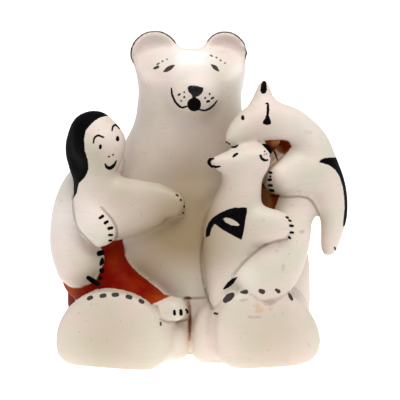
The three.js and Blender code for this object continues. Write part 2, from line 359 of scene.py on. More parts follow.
def cub():
    """The cub stands in the lap with its nose up and one arm stretched to the side."""
    return [
        roll("cub's trunk", [
            (24, -38, 91, 9.6, 9), (23, -38.5, 83, 9.8, 9.5), (21, -39, 73, 12.6, 10.5),
            (19, -39, 62, 13.8, 11.5), (17.2, -38.5, 51, 12, 10), (14.8, -39.5, 40, 8.2, 7.6),
            (12.6, -42.5, 31, 4.6, 5.4),
        ], last_cap=5, sides=40),
        roll("cub's head", [
            (29, -38.5, 96.4, 8.8, 9), (22, -41, 96, 7.6, 7.4), (15.6, -43.5, 96, 5.2, 5.4),
            (11.2, -45.4, 96.8, 3.3, 3.4),
        ], first_cap=7.8, last_cap=3),
        lump("cub's ear", (33.2, -43.8, 98.6), (4.4, 3, 4.8), sides=24),
        roll("cub's arm", [(25, -42, 68, 9, 7.5), (34, -45, 67.6, 8.4, 6.8), (41, -45, 67.4, 6.8, 5.6)],
             last_cap=6),
    ]


def dog():
    """The dog is draped over the bear's shoulder, its hind leg hanging outside the arm."""
    return [
        roll("dog's body", [
            (16.6, -40, 105, 2.4, 2.6), (19.6, -38.5, 107, 5, 5.2), (23.4, -36, 109.3, 7.1, 7),
            (28.2, -33, 111.7, 8.7, 8.4), (33.8, -29.5, 113.2, 9.6, 9), (40.4, -26, 112.5, 9, 9.2),
            (46.6, -23, 110.7, 8.4, 9.2), (52.1, -20.5, 106.5, 8.1, 9.5), (57.6, -18, 99.9, 8.6, 10),
            (59.8, -16, 91.2, 10.2, 11.6), (63.2, -14, 82, 10.2, 11.4), (66.4, -12.5, 73.6, 9.2, 10),
            (68.7, -11.5, 65.6, 7.4, 8.4), (68.5, -11.5, 58.4, 6, 7), (67, -12, 49, 4.7, 5),
        ], first_cap=2.2, last_cap=5.6, sides=40),
        roll("dog's foreleg", [
            (58, -18, 89.5, 13, 11.4), (50, -21, 89, 11.4, 10.6), (44, -25, 87.4, 9.6, 9.4),
            (38.6, -30.5, 86, 7.4, 8),
        ], last_cap=3.4),
        roll("dog's far foreleg", [(47, -17, 99, 5, 5), (41, -22, 94.5, 4.5, 4.5), (37, -26, 91, 4, 4)]),
        roll("dog's far ear", [(34, -25, 118.6, 8.4, 4.8), (33.8, -25, 125.2, 4.8, 3.6),
                               (33.8, -25, 129.4, 3.4, 3)], last_cap=3.6),
    ]


# How far each piece's creases are melted by hand: passes of smoothing, and the zones that get them.
# The bear's are the brow and muzzle, the chest above the paunch and the cheeks under the ears.
MELTED_BEAR = (60, [((0, -22, 122), 33), ((0, -38, 84), 40), ((-26, -4, 127), 14), ((26, -4, 127), 14),
                    ((-18, -16, 134), 17), ((18, -16, 134), 17)])
MELTED_CHILD = (40, [((-43, -28, 94), 18), ((-46, -22, 107), 18), ((-27, -33, 73), 14)])
MELTED_CUB = (14, None)
MELTED_DOG = (28, None)


def settle(pieces):
    """Brings the rolls from sculpted millimetres to metres and centres them in the frame's box."""
    spots = np.concatenate([positions_of(item) for item in pieces])
    spots = spots[spots[:, 2] >= 0]
    middle = (spots.min(0) + spots.max(0)) / 2 * SHARE * MM
    centre = (CAD_BOX[0] + CAD_BOX[1]) / 2
    shift = Vector((centre.x - middle[0], centre.y - middle[1], 0))
    place = Matrix.Translation(shift) @ Matrix.Scale(SHARE * MM, 4)
    for item in pieces:
        item.data.transform(place)
    return place


def away_from(centre, reach, spots):
    """How far each spot is from a sculpted place, as a share of the reach in millimetres."""
    return np.linalg.norm(spots - np.array(PLACE @ Vector(centre)), axis=1) / (reach * MM)


def melt(pieces, passes, zones=None):
    """Presses clay pieces into one skin and melts its creases, everywhere or round the zones given.

    In a zone the melting is full within half its reach and fades out at the reach.
    """
    pick(*pieces)
    bpy.ops.object.join()
    item = bpy.context.object
    finish_with(item, "REMESH", mode="VOXEL", voxel_size=SKIN_GRAIN * MM)
    settings = {"factor": MELTING, "iterations": passes}
    if zones:
        spots = positions_of(item)
        weight = np.zeros(len(spots))
        for centre, reach in zones:
            weight = np.maximum(weight, np.clip(2 - 2 * away_from(centre, reach, spots), 0, 1))
        group = item.vertex_groups.new(name="melted")
        for i in np.flatnonzero(weight):
            group.add([int(i)], weight[i], "REPLACE")
        settings["vertex_group"] = group.name
    finish_with(item, "SMOOTH", **settings)
    item.vertex_groups.clear()
    return item


def press_ears(item):
    """Dishes the front of each ear with the thumb, fully where the clay faces forward."""
    spots = positions_of(item)
    facing = np.clip(-normals_of(item)[:, 1] * 2, 0, 1)
    for (x, y, z), wide, high in EARS.values():
        centre = np.array(PLACE @ Vector((x, y, z - THUMB_DROP)))
        reach = np.array([wide, high]) * THUMB_REACH * SHARE * MM
        away = np.hypot(*((spots[:, ::2] - centre[::2]) / reach).T)
        near = spots[:, 1] < centre[1]
        spots[:, 1] += near * facing * THUMB_DEPTH * MM * np.clip(1 - away ** DISH_POWER, 0, 1)
    item.data.vertices.foreach_set("co", spots.ravel())
    item.data.update()


def join_clay(pieces):
    """Joins all the clay, adds the hand's swells and cuts the underside flat on the table."""
    item = melt(pieces, JOINED_PASSES)
    item.name = item.data.name = "storyteller_clay"
    swells = bpy.data.textures.new("finger-pressed swells", "CLOUDS")
    swells.noise_scale = LUMP_SIZE * MM
    swells.noise_depth = 1
    finish_with(item, "DISPLACE", texture=swells, texture_coords="LOCAL", strength=LUMP_HEIGHT * MM,
                mid_level=0.5)
    bpy.ops.object.mode_set(mode="EDIT")
    bpy.ops.mesh.select_all(action="SELECT")
    bpy.ops.mesh.bisect(plane_co=(0, 0, CAD_BOX[0].z), plane_no=(0, 0, 1), use_fill=True,
                        clear_inner=True, threshold=1e-6)
    bpy.ops.object.mode_set(mode="OBJECT")
    return item


limbs = bear_legs() + bear_arms()
melted_parts = [(bear_body() + bear_ears(), MELTED_BEAR), (child_head() + child(), MELTED_CHILD),
                (cub(), MELTED_CUB), (dog(), MELTED_DOG)]
rolls = sum((pieces for pieces, melting in melted_parts), []) + limbs
PLACE = settle(rolls)
SHAPE_OF = {item.name: (surface_of(item), positions_of(item).min(0), positions_of(item).max(0))
            for item in rolls}
skins = [melt(pieces, *melting) for pieces, melting in melted_parts]
press_ears(skins[0])
storyteller = join_clay(skins + limbs)


# The photograph's camera

def sight_line(px, py):
    """Where the camera stands, and the direction of the sight line through a pixel."""
    forward = Vector((0, math.cos(VIEW_DOWN), -math.sin(VIEW_DOWN)))
    up = Vector((0, math.sin(VIEW_DOWN), math.cos(VIEW_DOWN)))
    pixel = SENSOR / LENS / FRAME_SIDE
    middle = FRAME_SIDE / 2
    line = forward + Vector((1, 0, 0)) * ((px - middle) * pixel) + up * ((middle - py) * pixel)
    return VIEW_TARGET - forward * VIEW_DISTANCE, line.normalized()


def pixels_of(spots):
    """The pixel at which the camera sees each place, and the millimetres that a pixel covers there."""
    eye, forward = sight_line(FRAME_SIDE / 2, FRAME_SIDE / 2)
    away = spots - np.array(eye)
    size = away @ np.array(forward) * SENSOR / LENS / FRAME_SIDE
    rise = away @ np.array((0, math.sin(VIEW_DOWN), math.cos(VIEW_DOWN)))
    return np.column_stack([away[:, 0], -rise]) / size[:, None] + FRAME_SIDE / 2, size / MM


# The brushwork

# Each stroke is a list of x, y and width, in pixels of the photograph's frame, and each outline a list of
# x and y. A stroke of one stop is a dab.
INK_STROKES = {
    "bear's eyes": [
        [(163.8, 71.6, 1), (167.4, 69.6, 4), (170.4, 67.6, 3.8), (174.2, 65.4, 1)],
        [(211.8, 65, 1.4), (215.2, 67.6, 3.8), (218.5, 70.9, 1.2)]],
    "bear's brows": [
        [(154.6, 68.2, 2.2), (157.8, 67, 2.8)], [(156.8, 64.3, 1.2), (159.2, 63.3, 1.2)],
        [(162.2, 61.4, 1.3), (163, 61, 1.2)], [(167.2, 59.3, 1.4)], [(210.4, 55.2, 1), (212, 56.2, 1.4)],
        [(216, 57.2, 1.2), (217, 57.8, 1.2)], [(220.2, 60.2, 1.2), (221, 60.7, 1.2)],
        [(224.6, 63.2, 1.3), (225.4, 62.8, 1.2)]],
    "bear's mouth": [
        [(194, 96, 3.4), (194, 99, 2.6)], [(194.2, 104.5, 13.6)],
        [(171.4, 88.2, 1.2), (172.1, 94.3, 1.9), (174.3, 100, 2), (177.9, 105, 2), (182.1, 107.4, 1.9),
         (186.6, 106.4, 1.5)],
        [(199.3, 109.7, 1.4), (205, 110.3, 1.8), (210.7, 107.9, 2), (215, 103.6, 1.6),
         (217.1, 100.6, 1)]],
    "bear's whiskers": [
        [(178.8, 95, 1.8), (179.8, 94.2, 1.8)], [(184.3, 92.1, 1.6)], [(184.3, 97.1, 1.8)],
        [(181.1, 100.8, 1.7)], [(209.6, 94, 2)], [(205.3, 97.9, 1.9)],
        [(211.6, 98.6, 1.8), (213.2, 97.6, 1.8)], [(207.2, 101.7, 2), (209.4, 101, 1.8)]],
    "bear's left claws": [
        [(88.2, 277.8, 4), (92.5, 280.6, 5), (97.8, 283.9, 4.2)], [(100.3, 278, 4)], [(101.8, 270.6, 5)],
        [(102.4, 258.6, 2.2), (102, 261.8, 4.4), (100.6, 264.8, 2)],
        [(99.2, 253.6, 5), (101.8, 252.6, 5)]],
    "bear's right claw": [[(224, 289, 1.6), (229.4, 284, 4.4), (232.6, 281, 4), (236.6, 277.4, 1)]],
    "left sole's claws": [
        [(88.6, 298.6, 3.6), (91.2, 297.4, 3.8)], [(101.6, 296, 4), (104.4, 295.4, 4)],
        [(113.6, 294.8, 4), (117, 294.7, 4)], [(127.6, 296.6, 4), (130.4, 297.4, 4)],
        [(140.4, 300.8, 3.8), (142.6, 302, 3.6)], [(160.6, 322.6, 1.8), (160.8, 324.8, 1.8)]],
    "right sole's claws": [
        [(225.4, 300.4, 5), (228.8, 297.4, 7), (232, 295, 5)],
        [(240.8, 292.2, 1.6), (243.6, 292.2, 3.2), (246, 291.8, 4.4)],
        [(260.6, 290.8, 4.2), (262.8, 291.8, 4.8)], [(276.4, 289.8, 2.8), (278.6, 291.4, 3.8)],
        [(289.2, 294, 2), (290.4, 296.6, 3.2), (291.8, 299.2, 2.8)],
        [(214.8, 313.4, 2.4), (217, 313.8, 2.2)]],
    "child's face": [
        [(93.4, 143.2, 1.2), (94.3, 138.4, 1.8), (98, 135.5, 1.9), (103.4, 137.3, 1.7)],
        [(112, 130.8, 1.2), (113.4, 126, 1.8), (116, 124.9, 2), (119.4, 128.4, 1.3)],
        [(100.5, 145.6, 2.6), (100.4, 148, 2.8)], [(117.6, 137.6, 3), (117.5, 139.6, 3.4)],
        [(108.9, 156.6, 1.7)], [(113.1, 154.8, 1.7)],
        [(105, 163.8, 1.2), (107, 167.2, 2.8), (110.2, 168.1, 3.4), (114, 165.1, 2.7),
         (116.4, 160.6, 1.1)]],
    "child's fingers": [
        [(99.8, 218, 2.6), (102.6, 216.2, 3)], [(105, 223, 2.8), (107.2, 221.8, 3)],
        [(108.8, 228.6, 3), (111.8, 227.8, 3)], [(109, 235, 2.2), (112, 235, 2.2)],
        [(109.4, 240.6, 2), (111.4, 240.4, 2)], [(176.4, 194.9, 1.6), (177.6, 195.6, 1.6)],
        [(180.8, 199.9, 2.1)], [(184.3, 206.5, 2.1)], [(183.4, 212.9, 1.9)]],
    "child's toes": [
        [(174.4, 311.2, 2.6), (174.6, 314, 3)], [(180.8, 310.6, 3), (181, 314, 3.4)],
        [(186.4, 309.8, 2.4), (187.4, 312.2, 2.4)]],
    "cub's nose": [
        [(213.4, 158.6, 1.8), (210.4, 159.4, 2.8), (208.8, 161.8, 3), (210.4, 165, 3), (214, 166.9, 2.8),
         (219.8, 166.5, 1.6)]],
    "cub's eye": [[(233.2, 156.6, 1.8), (235.2, 155, 2.6), (237.6, 153.4, 1.6)]],
    "cub's ear": [
        [(263.6, 145.2, 3), (266.4, 147, 4.8), (268.8, 149.6, 4.6), (270, 153, 1.8), (270.2, 156.6, 1.2)],
        [(260.6, 155.8, 2.4), (262, 158.6, 2.6), (265, 160.2, 2.2), (268, 159.8, 1.2)],
        [(264.7, 151.5, 1.4)], [(266.6, 153.8, 1.4)], [(264.2, 154.8, 1.3)]],
    "mark behind the cub's ear": [[(273.2, 148, 1), (275.6, 154.4, 1.8), (277.6, 160.4, 1)]],
    "cub's claws": [
        [(286.6, 217.2, 2), (288, 217.8, 2)], [(289.2, 220.2, 2), (290.8, 221, 2)],
        [(290.4, 225.6, 2.6), (292.6, 226, 2.4)], [(290.8, 232.4, 2.4), (293, 232.7, 2.2)],
        [(288.8, 237, 2.2), (290.2, 238.2, 2.2)]],
    "dog's face": [
        [(242.7, 116.6, 2.8), (242.9, 118.6, 3)], [(226.4, 142.2, 1.6), (229.2, 144.2, 1.9)],
        [(232, 147, 1.7), (235, 146.9, 2), (238, 145.2, 1.3)], [(265.8, 103.6, 1.2), (267.8, 103.4, 1.8)],
        [(268, 103.6, 1.8), (268, 110, 2.6), (267.6, 116, 2)]],
    "dog's claws": [
        [(269.6, 172.4, 2.4), (271.2, 172.8, 2.4)], [(270.2, 176.4, 2.2)],
        [(268.8, 179.8, 2.6), (270.8, 179.6, 2.6)], [(269.2, 185.2, 2.7), (271.6, 185.4, 2.7)],
        [(270.2, 190.4, 2.8), (273, 190.7, 2.8)], [(334.6, 247.4, 1.6), (335.4, 249.6, 1.4)]],
    "dog's stripe": [
        [(337, 160, 5), (341.6, 172, 5), (345.6, 186, 4.4), (347.4, 199, 4), (347.2, 212, 3.2),
         (344.6, 225, 1.4)]],
}
# Those that are worn to a grey-brown. Where they face upward, as on the soles' top edges, the grey is
# also painted sheen.
FADED_AND_SHEEN_STROKES = [
    "bear's eyes", "bear's brows", "left sole's claws", "right sole's claws", "mark behind the cub's ear",
]
INK_OUTLINES = {
    "bear's nose": [
        (187.4, 88.4), (188.4, 86.2), (191, 85.2), (196, 85.6), (203.4, 87.6), (203.8, 89.8), (201.2, 94),
        (198, 96.4), (194.6, 97.4), (191.2, 94.6), (188.4, 91.6)],
    "cub's patch": [
        (228.1, 209.4), (234.2, 207.6), (246.9, 207.4), (247.1, 211.5), (245.3, 220.8), (243.5, 233.1),
        (241.6, 240), (232.7, 235.4), (221.9, 229.2), (214.6, 223.8), (211.4, 229), (209.6, 236),
        (205.6, 237.6), (206.2, 229), (208.5, 222.6), (213, 217.4), (219, 213.4)],
    "dog's stripe": [
        (318.8, 162.3), (320.6, 159.4), (325, 157.9), (332.7, 157.4), (339, 157.4), (346, 170),
        (352, 195), (351, 222), (342.8, 226.6), (343.2, 222), (344.6, 208), (344.2, 198), (342.8, 187),
        (339.6, 176.6), (335.2, 169.8), (329.2, 165.2), (323, 163.4)],
    "dog's ear": [
        (261.2, 84), (263.8, 80), (266.4, 82.6), (266.9, 90), (265.6, 93.4), (261.8, 93.6),
        (260.2, 90.4)],
    "dog's far ear": [
        (266.2, 115), (268.7, 115), (270.6, 120), (271.3, 124.2), (267, 125.2), (262.6, 123.8),
        (262.8, 121.6), (265, 118.4)],
}
HAIR_OUTLINE = [
    (60, 205), (60, 100), (112, 100), (112, 115.6), (105, 116.2), (99.4, 117.9), (94.4, 121),
    (89.4, 125.8), (85.6, 131), (84.2, 138.8), (84.8, 150.7), (88, 160.5), (88.6, 169.2), (85.3, 176.8),
    (78.8, 183.6), (76.6, 193), (72.6, 200),
]
# The rolls that an outline keeps to, where it could run over others.
PATCH_ROLLS = {
    "cub's patch": ["cub's trunk", "cub's arm", "cub's head"],
    "dog's stripe": ["dog's body", "dog's foreleg"],
}
CREAM_LENS = [
    (223.2, 218.6), (225.6, 217.8), (230, 218.4), (235.8, 221.4), (239.6, 224.8), (237.6, 225.8),
    (231.2, 224.9), (225.6, 222),
]
# The slip doesn't reach the recesses by the dog's jaw and foreleg: each outline, and the rolls under it.
RECESS_BACK = 6  # the y in millimetres that they go back to
RECESS_ROLLS = ["upper arm round cub", "trunk", "forearm round cub"]
RECESSES = {
    "under the jaw": (
        [(264, 138), (292, 138), (292, 150), (285, 157), (268, 157)], RECESS_ROLLS),
    "beside the far foreleg": (
        [(270, 141), (280, 139.6), (288, 140.4), (292, 146), (288, 151.6), (284.4, 154.6), (279.4, 152.2),
         (275, 148.3), (271.5, 145.5)],
        RECESS_ROLLS + ["dog's body", "dog's foreleg", "dog's far foreleg"]),
    "under the foreleg": (
        [(258, 178), (271, 190), (280, 195), (273.4, 212), (258, 212)], RECESS_ROLLS),
}
# Bare clay at the bottom of the seam between the calves.
BARE_SEAMS = [
    [(185, 297.6, 1), (188.4, 298, 2.6), (190.6, 298, 1)],
    [(190.4, 306, 0.4), (190.2, 316, 1), (189.8, 321, 2.6), (189.6, 327, 2.2), (190.2, 337, 0.4)],
]
# Where a tool pressed a seam, or the slip is thin along an edge: dark lines that are partly dirt and
# partly painted shade where one part lies against another.
SEAM_LINES_AND_SHADE = [
    [(188.6, 302, 2), (189.6, 314, 2.2), (189.8, 320, 3.4), (189.6, 330, 2.6), (189.2, 340, 1)],
    [(185.4, 298, 2.6), (188.6, 298.8, 2.6)],
    [(74, 192, 0.5), (72.6, 203, 1.2), (73.6, 214, 1.2), (77, 227, 1.2), (84.6, 236.6, 1),
     (94, 245, 0.5)],
    [(285.4, 153.6, 1), (279.4, 159.6, 1.8), (270.6, 167.8, 2), (267.4, 174, 1.2), (264.6, 183, 0.8)],
    [(234.4, 274, 0.5), (242, 264.6, 1), (250, 256.6, 1.2), (263, 246.4, 1.2), (277, 241, 1),
     (288, 239, 0.5)],
    [(160.4, 319.4, 0.6), (166, 321.6, 1), (178, 321.6, 1.6), (190, 319, 1.8)],
    [(189, 298.4, 1.4), (197, 298, 1), (206, 297.6, 0.8)],
    [(101, 207, 0.6), (107, 213.4, 1), (112.4, 220, 1.2), (116.6, 229, 1.2), (116, 238, 1.2),
     (110, 246, 0.8)],
    [(271, 195.4, 1), (285, 197, 0.8), (300, 196.8, 1), (309, 199, 1.2), (315, 206, 1.4),
     (318.6, 214, 1)],
    [(203.6, 238, 0.6), (201, 250, 1), (201, 265, 1), (204, 285, 1.2), (208.6, 300, 1.2),
     (213, 309, 0.8)],
]
# Scuffs; a rust-coloured film in the pit and seam between the legs and in the gaps by the dog, partly
# thin slip and partly painted shade; rust-coloured stains in spots on the right sole; and a dry drag of
# the brush.
MARKS = {
    "scuff": [
        [(300.4, 232, 1.6), (303, 231.6, 2.4)], [(277, 251, 2)], [(283.4, 265, 1), (283.2, 270, 1.4)],
        [(231, 189, 1)], [(264, 220, 1.2)], [(248.8, 316.6, 1.2), (254, 318, 1)],
        [(257, 316.9, 1.6), (260.6, 316.6, 1.2)], [(274.2, 316, 1.2)], [(282.8, 313.4, 1)],
        [(247.2, 299.6, 0.8), (240.6, 300.6, 1)], [(183.4, 218.2, 1), (178.4, 218.8, 1)]],
    "rust": [
        [(186, 300, 5)], [(277, 151, 8), (275.6, 158, 10), (271.6, 165, 5)],
        [(188, 306, 3), (189.4, 326, 4), (189, 344, 3)], [(274.4, 143.4, 4), (279.4, 142.4, 3)],
        [(266, 192, 7), (267, 204, 8)]],
    "rust spot": [[(257.8, 305.8, 2.6)], [(257, 311, 1.6), (261.2, 310.3, 2)], [(270.6, 308.8, 1.4)]],
    "drag": [[(304.8, 132.4, 1), (308, 132, 1.4), (311.6, 132.6, 1)]],
}
EDGE_REACH = 1.6  # millimetres from an edge within which its distance is measured
BRUSH_SPREAD = 0.06  # millimetres by which a stroke is wider than the brush
BRUSH_STEP = 0.5  # pixels from one stop of the brush to the next
OUTLINE_MARGIN = 4  # pixels round an outline within which its distance is measured
OFF_THE_SKIN = 0.5  # millimetres off the clay at which a sight line starts
LENS_GAP = 0.1  # millimetres of black taken off round the cream lens in the cub's patch

# The members that are pressed together but not smoothed into one another.
MEMBERS = [
    ["trunk", "paunch", "snout", "nose tip", "left ear", "right ear"], ["left foot"], ["right foot"],
    ["arm round child"], ["upper arm round cub", "forearm round cub"], ["lap"],
    ["child's head", "child's hair", "child's trunk", "child's hanging arm", "child's reaching arm",
     "child's hip"],
    ["child's leg"], ["cub's trunk", "cub's head", "cub's ear", "cub's arm"],
    ["dog's body", "dog's foreleg", "dog's far ear"], ["dog's far foreleg"],
]
CREASE_WIDTH = 0.5  # millimetres to either side of a crease
# How near to a painted edge and to a crease the faces are cut finer, in millimetres.
NEAR_EDGE = 0.52
NEAR_CREASE = 0.15


class Skin:
    """What the brush has to know of the clay: each vertex's place, its pixel and how far each roll is."""

    def __init__(self, item):
        self.spots = positions_of(item)
        self.normals = normals_of(item).astype(float)
        self.surface = surface_of(item)
        self.near = KDTree(len(self.spots))
        for i, spot in enumerate(self.spots):
            self.near.insert(spot, i)
        self.near.balance()
        self.pixels, self.pixel_size = pixels_of(self.spots)
        self.away = {name: self.distance_to(*roll_shape) for name, roll_shape in SHAPE_OF.items()}

    def distance_to(self, surface, low, high):
        """How far each vertex is outside a roll, in millimetres, up to the edge reach."""
        reach = EDGE_REACH * 2 * MM
        away = np.full(len(self.spots), EDGE_REACH * 2)
        for i in np.flatnonzero(np.all((self.spots > low - reach) & (self.spots < high + reach), axis=1)):
            place, normal = surface.find_nearest(self.spots[i])[:2]
            step = Vector(self.spots[i]) - place
            away[i] = min(away[i], math.copysign(step.length, step.dot(normal)) / MM)
        return away

    def belongs(self, names):
        """Positive where these rolls are on the surface, zero at the creases round them."""
        own = np.min([self.away[name] for name in names], axis=0)
        others = np.min([away for name, away in self.away.items() if name not in names], axis=0)
        return np.clip((others - own) / 2, -EDGE_REACH, EDGE_REACH)

    def creases(self):
        """The distance inside creases where two members meet, which the stone doesn't reach: dirt and
        painted shade.
        """
        members = [np.min([self.away[name] for name in names], axis=0) for names in MEMBERS]
        inside = CREASE_WIDTH - np.sort(members, axis=0)[1]
        evened = inside.copy()
        for i in np.flatnonzero(inside > -EDGE_REACH):
            near = [j for _, j, _ in self.near.find_range(self.spots[i], SKIN_GRAIN * MM)]
            evened[i] = inside[near].mean()
        return evened

    def touch(self, px, py, nearby=None):
        """Where the sight line through a pixel meets the clay, or the clay nearest to where it passes."""
        eye, line = sight_line(px, py)
        place = self.surface.ray_cast(eye, line)[0]
        if place is None:
            reach = (nearby - eye).length if nearby else VIEW_DISTANCE
            place = self.surface.find_nearest(eye + line * reach)[0]
        return place, (place - eye).length * SENSOR / LENS / FRAME_SIDE

    def brush(self, strokes):
        """The distance inside the strokes, in millimetres."""
        field = np.full(len(self.spots), -EDGE_REACH)
        for stroke in strokes:
            stops = np.array(stroke, float)
            length = np.linalg.norm(np.diff(stops[:, :2], axis=0), axis=1).sum()
            count = max(1, math.ceil(length / BRUSH_STEP)) if len(stops) > 1 else 0
            place = None
            for k in range(count + 1):
                px, py, width = spline(stops, k / count) if count else stops[0]
                place, pixel = self.touch(px, py, place)
                near = [i for _, i, _ in self.near.find_range(place, width * pixel + EDGE_REACH * MM)]
                apart = np.hypot(*(self.pixels[near] - (px, py)).T)
                inside = (width / 2 - apart) * self.pixel_size[near] + BRUSH_SPREAD
                field[near] = np.maximum(field[near], inside)
        return field

    def dab(self, field, place, half):
        """Adds to the field a dab round the place, its half width in metres."""
        for _, i, away in self.near.find_range(place, half + EDGE_REACH * MM):
            field[i] = max(field[i], (half - away) / MM)

    def fill(self, outline, names=None, back=None):
        """The distance inside an outline, in millimetres, on the rolls named and where they are seen.

        With back, it covers what lies behind that too, as far as this y in millimetres.
        """
        corners = np.array(outline, float)
        low, high = corners.min(0) - OUTLINE_MARGIN, corners.max(0) + OUTLINE_MARGIN
        inside_box = np.all((self.pixels > low) & (self.pixels < high), axis=1)
        chosen = np.flatnonzero(self.seen(inside_box) if back is None else inside_box)
        field = np.full(len(self.spots), -EDGE_REACH)
        field[chosen] = outline_distance(self.pixels[chosen], corners) * self.pixel_size[chosen]
        if back is not None:
            field = np.clip(np.minimum(field, back - self.spots[:, 1] / MM), -EDGE_REACH, None)
        return np.minimum(field, self.belongs(names)) if names else field

    def seen(self, wanted):
        """Which of the wanted vertices the camera sees."""
        eye = sight_line(0, 0)[0]
        seen = np.zeros(len(self.spots), bool)
        for i in np.flatnonzero(wanted):
            line = eye - Vector(self.spots[i])
            normal = Vector(self.normals[i])
            if normal.dot(line) > 0:
                start = Vector(self.spots[i]) + normal * OFF_THE_SKIN * MM
                seen[i] = self.surface.ray_cast(start, line)[0] is None
        return seen


def outline_distance(points, corners):
    """How far each point is inside a closed outline; negative outside it."""
    distance = np.full(len(points), np.inf)
    inside = np.zeros(len(points), bool)
    for start, end in zip(corners, np.roll(corners, -1, axis=0)):
        edge = end - start
        share = np.clip((points - start) @ edge / (edge @ edge), 0, 1)
        distance = np.minimum(distance, np.linalg.norm(points - start - share[:, None] * edge, axis=1))
        between = (start[1] > points[:, 1]) != (end[1] > points[:, 1])
        across = start[0] + (points[:, 1] - start[1]) / (edge[1] or 1) * edge[0]
        inside ^= between & (points[:, 0] < across)
    return np.where(inside, distance, -distance)


HAIRLINE = ((-44, -23.5, 105), (-0.35, 0.9, 0.25))  # a place on it, and the way from there to the hair
CHILDS_HEAD = ["child's head", "child's hair"]
CHILDS_SHOULDERS = ["child's trunk", "child's hanging arm"]
# The red slip covers the child's leg and the bear's lap under it, and wraps a little way round the hip:
# an oval in sculpted millimetres, with its middle and half sizes back and up, and the x it starts from.
RED_ROLLS = ["child's leg", "lap"]
RED_HIP = {"middle": (-10, 33), "half": (25, 19), "inward": -30}
TOES_LINE = ((170, 296), (150, 305.5))  # pixels, along the edge between the red leg and the white foot
# The black line along each ear's rim: degrees from the right, and half width in millimetres.
RIM_LINES = {
    "left": [(199, 0.5), (175, 0.75), (150, 0.55), (105, 0.4), (60, 0.5), (32, 0.5)],
    "right": [
        (146, 0.35), (110, 0.4), (75, 0.45), (40, 0.5), (20, 0.25), (8, 0.3), (-2, 0.6), (-12, 0.4)],
}
RIM_FORWARD = 0.2  # how far in front of the ear's middle that line runs, as a share of its thickness
RIM_STEP = 2.0  # degrees from one stop of the brush to the next


def paint_ears(skin):
    """The distance inside the line along the rim of each ear."""
    field = np.full(len(skin.spots), -EDGE_REACH)
    for side, line in RIM_LINES.items():
        (x, y, z), wide, high = EARS[side]
        stops = np.array(line)
        for angle in np.arange(stops[-1, 0], stops[0, 0], RIM_STEP):
            half = np.interp(angle, stops[::-1, 0], stops[::-1, 1])
            turn = math.radians(angle)
            rim = Vector((x + wide * math.cos(turn), y - EAR_THICKNESS * RIM_FORWARD,
                          z + high * math.sin(turn)))
            skin.dab(field, skin.surface.find_nearest(PLACE @ rim)[0], half * MM)
    return field


def paint_hair(skin):
    """The distance inside the child's hair: its outline in front, and behind the hairline at the back."""
    head = skin.belongs(CHILDS_HEAD)
    front = skin.fill(HAIR_OUTLINE)
    place, way = HAIRLINE
    behind = (skin.spots - np.array(PLACE @ Vector(place))) @ np.array(way) / MM
    back = np.clip(np.maximum(behind, skin.belongs(["child's hair"])), -EDGE_REACH, EDGE_REACH)
    child = skin.belongs(CHILDS_HEAD + CHILDS_SHOULDERS)
    return np.where(skin.seen(child > -EDGE_REACH), np.minimum(front, child), np.minimum(back, head))


def paint_red(skin):
    """The distance inside the red slip."""
    place = np.array(PLACE.inverted() @ Vector((0, 0, 0))) + skin.spots / (SHARE * MM)
    half = np.array(RED_HIP["half"])
    oval_hip = (1 - np.linalg.norm((place[:, 1:] - RED_HIP["middle"]) / half, axis=1)) * half.min()
    hip = np.minimum(oval_hip, RED_HIP["inward"] - place[:, 0])
    red = np.maximum(skin.belongs(RED_ROLLS), np.minimum(skin.belongs(RED_ROLLS + ["trunk"]), hip))
    start, end = np.array(TOES_LINE, float)
    along = (end - start) / np.linalg.norm(end - start)
    left = (skin.pixels - start) @ np.array([along[1], -along[0]])
    on_leg = skin.belongs(["child's leg"]) > 0
    red = np.where(on_leg, np.minimum(red, -left * skin.pixel_size), red)
    return np.clip(red, -EDGE_REACH, EDGE_REACH)


def coats_of(item):
    """Each coat on the clay, as the distance inside its edge at every vertex, in millimetres."""
    skin = Skin(item)
    ink = np.max([skin.brush(strokes) for strokes in INK_STROKES.values()], axis=0)
    for name, outline in INK_OUTLINES.items():
        ink = np.maximum(ink, skin.fill(outline, PATCH_ROLLS.get(name)))
    ink = np.minimum(ink, -skin.fill(CREAM_LENS) - LENS_GAP)
    recesses = [skin.fill(*recess, RECESS_BACK) for recess in RECESSES.values()]
    raw = np.max([skin.brush(BARE_SEAMS)] + recesses, axis=0)
    rims = paint_ears(skin)
    # The faded strokes and the ears' rims are grey partly from wear, partly as painted sheen.
    faded = np.max([skin.brush(INK_STROKES[name]) for name in FADED_AND_SHEEN_STROKES], axis=0)
    return {
        "ink": np.max([ink, rims, paint_hair(skin)], axis=0),
        "faded": np.maximum(faded, rims),
        "gloss": skin.fill(INK_OUTLINES["bear's nose"]),
        "red": paint_red(skin),
        "raw": raw,
        **{name: skin.brush(strokes) for name, strokes in MARKS.items()},
        # Creases and seam lines, darkened by dirt and by painted shade.
        "crease": np.maximum(skin.creases(), skin.brush(SEAM_LINES_AND_SHADE)),
    }


def refine(item, coats):
    """Cuts the faces along every painted edge and crease as fine as the brush's grain."""
    edge = np.min([np.abs(coats[name]) for name in ("ink", "red")], axis=0) < NEAR_EDGE
    edge |= coats["crease"] > -NEAR_CREASE
    pick(item)
    bpy.ops.object.mode_set(mode="EDIT")
    bpy.ops.mesh.select_all(action="DESELECT")
    edit = bmesh.from_edit_mesh(item.data)
    for face in edit.faces:
        numbers = [vertex.index for vertex in face.verts]
        crossed = any(np.ptp(np.sign(coats[name][numbers])) for name in ("ink", "red"))
        face.select = crossed or edge[numbers].any()
    bmesh.update_edit_mesh(item.data)
    bpy.ops.mesh.subdivide(number_cuts=math.ceil(SKIN_GRAIN / BRUSH_GRAIN) - 1)
    bpy.ops.object.mode_set(mode="OBJECT")


refine(storyteller, coats_of(storyteller))
keep_on(storyteller, coats_of(storyteller))
pick(storyteller)
bpy.ops.object.shade_smooth()


# Finishes

